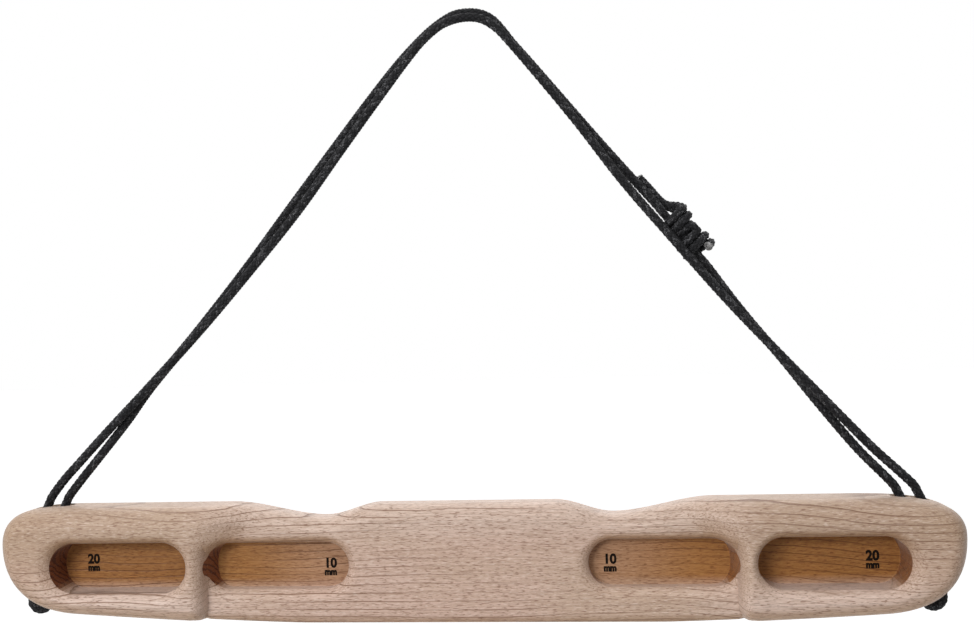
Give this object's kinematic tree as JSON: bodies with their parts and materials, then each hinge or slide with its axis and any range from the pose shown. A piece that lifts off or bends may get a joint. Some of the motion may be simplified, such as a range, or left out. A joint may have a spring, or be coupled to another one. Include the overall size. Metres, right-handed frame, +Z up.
{
  "type": "hangboard",
  "caption": "Portable wooden climbing training board with finger pockets of two depths in its face, hung from a knotted loop of braided cord that runs through holes at both ends.",
  "frame": {"origin": "hang point: the underside of the cord's bend, where a hook or a bar carries the loop", "axes": "+Z up, +X to the right along the board as the pockets are seen, +Y out of the board's flat back"},
  "size_m": [0.5, 0.036, 0.3208],
  "materials": {
    "beech": "fine sanded, lightly oiled",
    "cord": "braided polyamide sheath"
  },
  "bodies": {
    "sling": {"front_strand": "cord", "back_strand_upper": "cord", "back_strand_lower": "cord", "knot_lower_half": "cord", "knot_upper_half": "cord"},
    "board": {"board": "beech", "left_cord_turn": "cord", "right_cord_turn": "cord"}
  },
  "joints": [
    {"name": "board_tilt", "type": "hinge", "parent": "sling", "child": "board", "pos_m": [-0.0089, 0, -0.2506], "axis": [1, 0, 0], "range_deg": [-20, 20], "deforming": ["front_strand", "back_strand_upper", "back_strand_lower"]}
  ]
}
